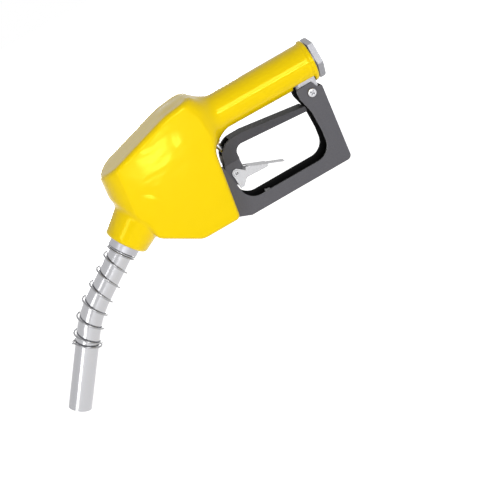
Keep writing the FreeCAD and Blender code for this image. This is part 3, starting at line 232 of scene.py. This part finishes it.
# ---------------------------------------------------------------- inlet thread
# Female 3/4 in pipe thread, cut in the hex for the hose swivel: 14 turns to the inch.
# The hex's bore is at the thread's root, and these are the ridges that stand in from it.
def wound(name, centres, outward, tangents, section):
    """Tube along centres; section lists (outward, sideways) offsets in metres."""
    points = []
    for place, out_way, run in zip(centres, outward, tangents):
        across_way = np.cross(run, out_way)
        across_way /= np.linalg.norm(across_way)
        for a, b in section:
            points.append(place + out_way * a + across_way * b)
    n = len(section)
    faces = []
    for i in range(len(centres) - 1):
        for j in range(n):
            k = (j + 1) % n
            faces.append((i * n + j, i * n + k, (i + 1) * n + k, (i + 1) * n + j))
    last = (len(centres) - 1) * n
    faces.append(tuple(range(n - 1, -1, -1)))
    faces.append(tuple(range(last, last + n)))
    return mesh_piece(name, points, faces)


THREAD_TURNS = 8.5
THREAD_PITCH = 0.001814
THREAD_START = 0.0012
THREAD_ROOT_R = 0.01345
THREAD_RIDGE = [(-0.0009, 0.0), (0.0001, 0.0008), (0.0001, -0.0008)]
turns = np.linspace(0, THREAD_TURNS, 8 * 64)
angle = turns * 2 * math.pi
outward = np.stack([angle * 0, np.cos(angle), np.sin(angle)], 1)
centres = outward * THREAD_ROOT_R
centres[:, 0] = -THREAD_START - turns * THREAD_PITCH
thread = wound("inlet_thread", centres, outward, np.gradient(centres, axis=0), THREAD_RIDGE)
thread.data.shade_flat()
machined = bare_metal("machined_aluminium", (0.45, 0.45, 0.47), 0.25, 1500, depth=0.03)
thread.data.materials.append(machined)
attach(thread, "nozzle_body")


# ---------------------------------------------------------------- main valve
# Brass seat and poppet with a bonded rubber disc, on a stainless stem that runs in a packed gland.
# The lever lifts the stem, and a spring under the screwed aluminium cap closes the valve.
def rubber_or_plastic(name, light, dark, rough, grain, coarse=0.3):
    """Two close tones in a fine grain."""
    made, nodes, links, shader = new_finish(name)
    place = nodes.new("ShaderNodeTexCoord")
    marks = noise(nodes, links, grain, place=place.outputs["Object"])
    links.new(two_colours(nodes, links, marks, dark, light), shader.inputs["Base Color"])
    relief(nodes, links, shader, marks, coarse, 0.0002)
    shader.inputs["Roughness"].default_value = rough
    return made


def put_on(piece, body, surface):
    """Puts a made piece on its body with its material."""
    piece.data.materials.clear()
    piece.data.materials.append(surface)
    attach(piece, body)


brass = bare_metal("turned_brass", (0.72, 0.5, 0.22), 0.28, 700, (1, 1, 4), 0.1)
rubber = rubber_or_plastic("fuel_rubber", (0.03, 0.03, 0.032), (0.015, 0.015, 0.016), 0.6, 1500)
stainless = bare_metal("stainless", (0.5, 0.5, 0.52), 0.25, 1800, depth=0.02)
spring_wire = bare_metal("spring_wire", (0.34, 0.34, 0.35), 0.2, 2000, depth=0.02)
dress(brass, "valve_seat_ring", "main_poppet", "packing_gland")
dress(rubber, "poppet_disc", "poppet_cap_o_ring", "stem_packing")
dress(stainless, "main_stem")
dress(cast_aluminium, "poppet_cap")


def pressed_spring(node):
    """Copy of the node's spring in spring wire, put on the nozzle body in place of the hidden CAD node."""
    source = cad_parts[node].data
    points = [v.co for v in source.vertices]
    made = mesh_piece(node + "_wound", points, [f.vertices for f in source.polygons])
    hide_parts(node)
    put_on(made, "nozzle_body", spring_wire)
    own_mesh(made)


pressed_spring("poppet_spring")


# ---------------------------------------------------------------- shut-off latch
# Yellow-plated steel plunger that the lever turns on, held up by three steel balls in a stainless sleeve.
# When the rubber diaphragm lifts the pin between them, the balls let the plunger drop.
yellow_zinc = bare_metal("yellow_zinc", (0.62, 0.5, 0.27), 0.3, 500, depth=0.1)
dress(brass, "plunger_guide")
dress(stainless, "latch_sleeve", "latch_pin", "latch_ball_1", "latch_ball_2", "latch_ball_3")
dress(yellow_zinc, "latch_plunger", "lever_pin")
pressed_spring("plunger_spring")
pressed_spring("diaphragm_spring")
dress(rubber, "diaphragm")
dress(cast_aluminium, "diaphragm_cap", "access_cap")
dress(stainless, "diaphragm_cap_screws")


# ---------------------------------------------------------------- spout collar
# Turned aluminium socket in the body's nose; an O-ring seals it and a set screw locks it.
def broken_edges(node, name, width, steps=2):
    """Copy of a CAD solid with its edges broken as moulding or tumbling leaves them."""
    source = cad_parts[node].data
    made = mesh_piece(name, [v.co for v in source.vertices], [f.vertices for f in source.polygons])
    work = bmesh.new()
    work.from_mesh(made.data)
    bmesh.ops.remove_doubles(work, verts=work.verts, dist=1e-6)
    bmesh.ops.dissolve_limit(work, angle_limit=math.radians(1.5), verts=work.verts, edges=work.edges)
    work.to_mesh(made.data)
    work.free()
    made.data.shade_smooth()
    bevel = made.modifiers.new("broken_edges", "BEVEL")
    bevel.width = width
    bevel.segments = steps
    bevel.limit_method = "ANGLE"
    bevel.angle_limit = math.radians(30)
    bevel.harden_normals = True
    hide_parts(node)
    return made


turned = bare_metal("turned_aluminium", (0.46, 0.46, 0.49), 0.3, 1500, depth=0.03)
collar = broken_edges("spout_collar", "spout_collar_turned", 0.0005)
put_on(collar, "nozzle_body", turned)
dress(rubber, "collar_o_ring")
dress(stainless, "spout_lock_screw")


# ---------------------------------------------------------------- outlet check valve
# Brass seat and valve in the collar's bore, with a moulded acetal guide behind.
# Its spring holds it shut until fuel pushes it open.
acetal = rubber_or_plastic("acetal", (0.78, 0.78, 0.74), (0.7, 0.7, 0.66), 0.35, 800, 0.1)
dress(brass, "check_valve_seat", "check_valve")
dress(acetal, "check_valve_guide")
pressed_spring("check_valve_spring")


# ---------------------------------------------------------------- spout tube
# 15/16 in aluminium tube, drawn, bent once and brushed along its length; its mouth is turned smooth.
# Lengths are in millimetres along its centre line, from where that line leaves the body.
SPOUT_ROOT = (-214.7, -44.0)
UPPER_DROP = 35.3
LOWER_DROP = 54.7
SPOUT_R = 11.85
SPOUT_BORE_R = 10.7
BEND_R = 115.0
BEND_START = 100.64
BEND_END = BEND_START + 38.94
TIP_AT = BEND_END + 79.14


def spout_line(distance):
    """Point, direction and upper side of the spout's centre line, so far from its root."""
    half = math.radians((LOWER_DROP - UPPER_DROP) / 2)
    straight = 120.3 - BEND_R * math.tan(half)
    drop = math.radians(UPPER_DROP) + np.clip((distance - straight) / BEND_R, 0, 2 * half)
    way = np.stack([-np.cos(drop), drop * 0, -np.sin(drop)], 1)
    side = np.stack([-np.sin(drop), drop * 0, np.cos(drop)], 1)
    c, s = math.cos(math.radians(UPPER_DROP)), math.sin(math.radians(UPPER_DROP))
    bend_centre = np.array([SPOUT_ROOT[0], 0, SPOUT_ROOT[1]]) + np.array([-c, 0, -s]) * straight
    bend_centre = bend_centre - np.array([-s, 0, c]) * BEND_R
    before = np.minimum(distance - straight, 0)
    after = np.maximum(distance - straight - 2 * half * BEND_R, 0)
    return bend_centre + side * BEND_R + way * (before + after)[:, None], way, side


bent = list(np.linspace(139.6, 103, 22))
outside = list(np.linspace(24, 100.6, 12)) + bent[::-1] + [150, 165, 180, 195, 210]
inside = [210, 195, 180, 165, 150] + bent + [100.6, 24]
mouth = [TIP_AT - 0.5, TIP_AT, TIP_AT, TIP_AT - 0.4]
mouth_radii = [SPOUT_R, SPOUT_R - 0.4, SPOUT_R - 0.9, SPOUT_BORE_R]
runs = outside + mouth + inside
radii = [SPOUT_R] * len(outside) + mouth_radii + [SPOUT_BORE_R] * len(inside)
place, way, side = spout_line(np.array(runs, float))
count = 96
rings = []
for p, s, r in zip(place, side, radii):
    for i in range(count):
        a = 2 * math.pi * i / count
        rings.append((p + s * math.cos(a) * r + np.array([0, math.sin(a) * r, 0])) / 1000)
faces = []
for i in range(len(runs)):
    after = (i + 1) % len(runs)
    for j in range(count):
        k = (j + 1) % count
        faces.append((i * count + j, after * count + j, after * count + k, i * count + k))
spout = mesh_piece("spout_tube_drawn", rings, faces)
for edge in spout.data.edges:
    a, b = (v // count for v in edge.vertices)
    if a == b and len(outside) <= a < len(outside) + len(mouth):
        edge.use_edge_sharp = True
brushed = bare_metal("brushed_spout", (0.5, 0.5, 0.52), 0.2, 1500, depth=0.025)
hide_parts("spout_tube")
put_on(spout, "nozzle_body", brushed)
dress(stainless, "sensing_port", "vacuum_tube")


# ---------------------------------------------------------------- spout spring
# Spring-steel wire wound on the spout, where it grips a filler neck.
# Open turns between closed ends; the first turn bears on the collar.
def ease(start, end, t):
    """0 before start, 1 after end, eased between."""
    t = np.clip((t - start) / (end - start), 0, 1)
    return t * t * (3 - 2 * t)


COIL_TURNS = 9
CLOSED_PITCH = 1.935
OPEN_PITCH = 16.0
COIL_START = 50.3
COIL_R = 14.1
COIL_WIRE_R = 0.00088
turns = np.linspace(0, COIL_TURNS, COIL_TURNS * 56 + 1)
opened = ease(1.25, 1.75, turns) * ease(7.75, 7.25, turns)
pitch = CLOSED_PITCH + (OPEN_PITCH - CLOSED_PITCH) * opened
steps = np.cumsum((pitch[1:] + pitch[:-1]) / 2 * np.diff(turns))
place, way, side = spout_line(COIL_START + np.concatenate([[0], steps]))
angle = turns * 2 * math.pi
outward = side * np.cos(angle)[:, None] - np.array([0, 1, 0]) * np.sin(angle)[:, None]
centres = (place + outward * COIL_R) / 1000
around = np.linspace(0, 2 * math.pi, 13)[:-1]
round_wire = [(COIL_WIRE_R * math.cos(a), COIL_WIRE_R * math.sin(a)) for a in around]
coil = wound("spout_spring_wire", centres, outward, np.gradient(centres, axis=0), round_wire)
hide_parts("spout_spring")
put_on(coil, "nozzle_body", spring_wire)


# ---------------------------------------------------------------- scuff cover
# One thick moulding of glossy yellow vinyl, pulled over the casting from handle to nose.
# Every edge is rolled, and the handle, body and nose run into each other without a seam.
# It is slit under the handle and behind the lever, where lug, gland and plunger come through.
def both(a, b, r):
    """What lies within both forms, the edge between them rounded to r."""
    return np.minimum(np.maximum(a, b), -r) + np.hypot(np.maximum(a + r, 0), np.maximum(b + r, 0))


def either(a, b, r):
    """What lies within either form, the corner between them filled to r."""
    return -both(-a, -b, r)


def both_shallow(a, b, k):
    """The same as both, for faces that meet at a shallow angle."""
    return np.maximum(a, b) + np.maximum(k - np.abs(a - b), 0) ** 2 / (4 * k)


def along(x, z, root, drop):
    """Distance along and across an axis in the plane of symmetry, drop degrees below -X."""
    c, s = math.cos(math.radians(drop)), math.sin(math.radians(drop))
    dx, dz = x - root[0], z - root[1]
    return -dx * c - dz * s, dx * s - dz * c


def above(x, z, at, rise):
    """Distance above a sloped face through at, which rises so much per millimetre of x."""
    return (z - at[1] - rise * (x - at[0])) / math.hypot(1, rise)


def moulded_skin(name, form, low, high, step):
    """Mesh of the surface where form is zero, in millimetres, with the form's own normals."""
    lines = [np.arange(a, b + step, step) for a, b in zip(low, high)]
    x, y, z = np.meshgrid(*lines, indexing="ij")
    within = form(x, y, z) < 0
    count = [n - 1 for n in within.shape]
    total = np.zeros(count, int)
    for i in (0, 1):
        for j in (0, 1):
            for k in (0, 1):
                total += within[i:count[0] + i, j:count[1] + j, k:count[2] + k]
    cells = np.argwhere((total > 0) & (total < 8))
    number = -np.ones(count, int)
    number[tuple(cells.T)] = np.arange(len(cells))
    points = np.array(low) + (cells + 0.5) * step

    def slope(p):
        h = 0.02
        rows = [form(*(p + h * e).T) - form(*(p - h * e).T) for e in np.eye(3)]
        g = np.array(rows).T / (2 * h)
        return g / np.maximum(np.linalg.norm(g, axis=1), 1e-6)[:, None]

    for _ in range(5):
        moved = -form(*points.T)[:, None] * slope(points)
        reach = np.linalg.norm(moved, axis=1)[:, None]
        points = points + moved * np.minimum(1, 0.6 * step / np.maximum(reach, 1e-9))
    quads = []
    for axis in range(3):
        a, b = [n for n in range(3) if n != axis]
        here = [slice(None)] * 3
        here[a], here[b] = slice(1, -1), slice(1, -1)
        near, far = list(here), list(here)
        near[axis], far[axis] = slice(0, -1), slice(1, None)
        first, last = within[tuple(near)], within[tuple(far)]
        edges = np.argwhere(first != last)
        out = first[tuple(edges.T)]
        edges = edges + [0 if n == axis else 1 for n in range(3)]
        ring = []
        for da, db in ((-1, -1), (0, -1), (0, 0), (-1, 0)):
            cell = edges.copy()
            cell[:, a] += da
            cell[:, b] += db
            ring.append(number[tuple(cell.T)])
        ring = np.array(ring).T
        flip = out if axis != 1 else ~out
        ring[~flip] = ring[~flip][:, ::-1]
        quads.append(ring)
    made = mesh_piece(name, points / 1000, np.concatenate(quads))
    made.data.normals_split_custom_set_from_vertices(slope(points).tolist())
    return made


HALF_WIDTH = 27.25
COVER_WALL = 3.0
EDGE_R = 4.5
HUMP_TOP = (-129, 31.0)
SHOULDER = (-160, 26.8)
BOTTOM_Z = -97.4
PROW_AXIS = (-208.6, 2.2)
PROW_R = 30.7
REAR_FOOT = (-140.8, -97.5)
REAR_LEAN = 0.1228
HANDLE_R = 18.2
LIP_R = 20.95
LIP_AT = -9.6
COVER_END = -7.2
NOSE_R = 25.5
NOSE_END = 42
SLIT_HALF_WIDTH = 13.4
SLIT_EDGE_R = 0.8


def cover_form(x, y, z):
    y = np.abs(y)
    # body between its flat sides, curved prow, sloped top and bottom, and the rear face over the lever
    top = both_shallow(above(x, z, HUMP_TOP, 0.1355), above(x, z, SHOULDER, 0.3174), 1.2)
    lean = x - PROW_AXIS[0] + 0.0875 * (PROW_AXIS[1] - z)
    prow = np.hypot(np.minimum(lean, 0), y) - PROW_R
    side = both_shallow(y - HALF_WIDTH, prow, 0.9)
    low_front = (x + 182) * -0.521 + (z - BOTTOM_Z) * -0.8536
    bottom = both_shallow(BOTTOM_Z - z, low_front, 2.5)
    s, t = along(x, z, SPOUT_ROOT, UPPER_DROP)
    bottom = both_shallow(bottom, s - 12 - 9 * ease(0, 22, t), 1.5)
    toward_handle = ease(-35, 25, z)
    rear = (x - REAR_FOOT[0] - (z - REAR_FOOT[1]) * REAR_LEAN - 5 * toward_handle) * 0.9925
    rear = both_shallow(rear, (x - HUMP_TOP[0]) * 0.891 + (z - HUMP_TOP[1]) * 0.454, 3)
    body = both(side, rear, EDGE_R + 10.0 * toward_handle)
    body = both(body, bottom, EDGE_R)
    body = both(body, top, 5.5 - 2.0 * ease(-200, -235, x))
    # handle, a little thicker at the inlet, filled into the body
    round_grip = np.hypot(y, z)
    grip = round_grip - HANDLE_R - np.clip((x + 122) / 115.7, 0, 1)
    grip = both(grip, -160 - x, 10)
    under = ease(4, -22, z) * ease(-150, -122, x)
    shape = either(body, grip, 14 + 12 * under)
    # nose, tapering toward the collar
    ring = np.hypot(t, y)
    nose = ring - NOSE_R + 3.7 * np.clip((s - 10) / 32, 0, 1)
    nose = both(both(nose, s - NOSE_END, 3.5), -10 - s, 1)
    shape = both_shallow(either(shape, nose, 5), y - HALF_WIDTH, 0.6)
    # rolled lip at the inlet, and the room inside for the casting
    room = shape + COVER_WALL
    lip = both(round_grip - LIP_R, np.abs(x - LIP_AT) - 2.4, 1.8)
    shape = either(shape, lip, 1.5)
    shape = both(shape, x - COVER_END, 1.0)
    shape = both(shape, -room, 0.4)
    # slits and holes: guard's front post, guard's lug, packing gland, plunger, spout
    behind_post = -x - 143.8 + (z - REAR_FOOT[1]) * REAR_LEAN
    post = np.maximum(np.maximum(y - SLIT_HALF_WIDTH, z + 46.0), behind_post)
    lug = np.maximum(np.maximum(y - SLIT_HALF_WIDTH, z + 8), np.abs(x + 23.9) - 12.2)
    v, w = along(x, z, (-121.0, -40.0), -112.0)
    gland = np.maximum(np.hypot(w, y) - 7.2, np.abs(v - 11) - 16)
    v, w = along(x, z, (-131.0, -68.0), -50.0)
    plunger = np.maximum(np.hypot(w, y) - 6.0, np.abs(v - 2) - 13)
    mouth = np.maximum(ring - 15.5, np.abs(s - NOSE_END) - 7)
    for hole in (post, lug, gland, plunger, mouth):
        shape = both(shape, -hole, SLIT_EDGE_R)
    return shape


COVER_STEP = 1.25
cover = moulded_skin("scuff_cover_moulded", cover_form, (-262, -30, -100), (-4, 30, 34), COVER_STEP)
vinyl, nodes, links, shader = new_finish("yellow_vinyl")
shader.inputs["Base Color"].default_value = (0.98, 0.685, 0.001, 1)
shader.inputs["Roughness"].default_value = 0.11
shader.inputs["Specular Tint"].default_value = (1.0, 0.88, 0.12, 1)
relief(nodes, links, shader, noise(nodes, links, 11.0, 1.0), 0.05, 0.004)
cover.data.materials.append(vinyl)
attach(cover, "nozzle_body")
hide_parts("scuff_cover")


# ---------------------------------------------------------------- lever guard
# Channel-section hoop of painted metal, open toward the fingers; grey on its sides as painted reflection,
# black inside as painted shade.
# One screw holds it to the lug under the inlet, two more to the body behind its front post.
def painted_sheen_and_shade(name, side_at, shade=1.0):
    """Grey on the outer side faces, which lie side_at metres out, as painted reflection on the dark finish;
    near-black elsewhere as painted shade.
    """
    made, nodes, links, shader = new_finish(name)
    place = nodes.new("ShaderNodeTexCoord").outputs["Object"]
    apart = nodes.new("ShaderNodeSeparateXYZ")
    links.new(place, apart.inputs["Vector"])
    out_from = nodes.new("ShaderNodeMath")
    out_from.operation = "ABSOLUTE"
    links.new(apart.outputs["Y"], out_from.inputs[0])
    # Mask of the outer side faces: 1 takes the grey of painted reflection, 0 the near-black of painted shade.
    edge = nodes.new("ShaderNodeMapRange")
    edge.inputs["From Min"].default_value = side_at - 0.0005
    edge.inputs["From Max"].default_value = side_at - 0.0002
    links.new(out_from.outputs[0], edge.inputs["Value"])
    speckle = noise(nodes, links, 700.0, 3.0, place)
    dark = tuple(shade * part for part in (0.108, 0.106, 0.118))
    light = tuple(shade * part for part in (0.142, 0.14, 0.153))
    grey = two_colours(nodes, links, speckle, dark, light)
    # Painted shade: near-black on inner and top faces; painted reflection: grey on the outer sides.
    tone = two_colours(nodes, links, edge.outputs["Result"], (0.004, 0.004, 0.0045), grey)
    links.new(tone, shader.inputs["Base Color"])
    sheen = ranged(nodes, links, edge.outputs["Result"], 0.55, 0.45)
    links.new(sheen.outputs["Result"], shader.inputs["Roughness"])
    shader.inputs["Specular IOR Level"].default_value = 0.12
    relief(nodes, links, shader, speckle, 0.12, 0.0002)
    return made


guard = broken_edges("lever_guard", "lever_guard_painted", 0.0007, steps=3)
put_on(guard, "nozzle_body", painted_sheen_and_shade("guard_paint", 0.013))


# ---------------------------------------------------------------- hold-open rack
# Three zinc-plated steel teeth on the channel's floor, where the clip's tongue catches.
# Each tooth holds the lever at another opening.
plated = bare_metal("zinc_plate", (0.4, 0.4, 0.41), 0.34, 1800, (1, 3, 1), 0.02)
rack = broken_edges("hold_open_rack", "hold_open_rack_teeth", 0.0003)
put_on(rack, "nozzle_body", plated)


# ---------------------------------------------------------------- guard screws
# A stainless pan-head machine screw with a cross recess goes through guard and lug, with a nut behind.
# Two short screws hold the front post, hidden in the channel.
SCREW_AT = (-21.7, -26.5)
HEAD_R = 4.5
SHANK_R = 2.1
SCREW_PITCH = 0.8
THREAD_DEPTH = 0.7


def rear_screw_form(x, y, z):
    dx, dz = x - SCREW_AT[0], z - SCREW_AT[1]
    across_it = np.hypot(dx, dz)
    head = both(across_it - HEAD_R, np.abs(y + 14.3) - 1.25, 1.2)
    u, v = np.abs(dx + dz) * math.sqrt(0.5), np.abs(dx - dz) * math.sqrt(0.5)
    taper = 0.25 * (y + 15.6)
    cross = np.minimum(np.maximum(u - 0.6 + taper, v - 2.4 + taper),
                       np.maximum(v - 0.6 + taper, u - 2.4 + taper))
    head = both(head, -np.maximum(cross, y + 14.0), 0.15)
    turn = np.arctan2(dz, dx) / (2 * math.pi)
    ridge = np.abs((y / SCREW_PITCH + turn) % 1 - 0.5) * THREAD_DEPTH
    shank = both(across_it - SHANK_R - ridge * ease(14, 15, y), np.abs(y - 2.2) - 15.6, 0.3)
    return np.minimum(head, shank)


screw = moulded_skin("guard_rear_screw_pan_head", rear_screw_form, (-27, -16.5, -32), (-16.5, 19, -21), 0.3)
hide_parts("guard_rear_screw")
put_on(screw, "nozzle_body", stainless)
nut = broken_edges("guard_rear_nut", "guard_rear_nut_hex", 0.0004)
put_on(nut, "nozzle_body", stainless)
front_screws = broken_edges("guard_front_screws", "guard_front_screw_pair", 0.0004)
put_on(front_screws, "nozzle_body", stainless)


# ---------------------------------------------------------------- lever
# Black moulded grip over a painted steel fork.
# The fork turns on the latch plunger's pin and lifts the valve's stem.
# Grip and fork take grey outer sides as painted reflection and near-black elsewhere as painted shade; the
# grip's grey is darker than the fork's.
grip = broken_edges("lever_cover", "lever_cover_moulded", 0.0011, steps=3)
put_on(grip, "lever", painted_sheen_and_shade("lever_plastic", 0.0096, 0.6))
fork = broken_edges("lever_core", "lever_core_fork", 0.0003)
put_on(fork, "lever", painted_sheen_and_shade("fork_paint", 0.0056))


# ---------------------------------------------------------------- hold-open clip
# Bent sheet of zinc-plated steel that swings on a hollow rivet through the fork; its tongue drops on the rack.
# A small wire spring on the rivet swings it back clear of the rack.
clip = broken_edges("hold_open_clip", "hold_open_clip_sheet", 0.00025)
put_on(clip, "clip", plated)
rivet = broken_edges("clip_rivet", "clip_rivet_hollow", 0.0004)
put_on(rivet, "lever", plated)
dress(spring_wire, "clip_spring")
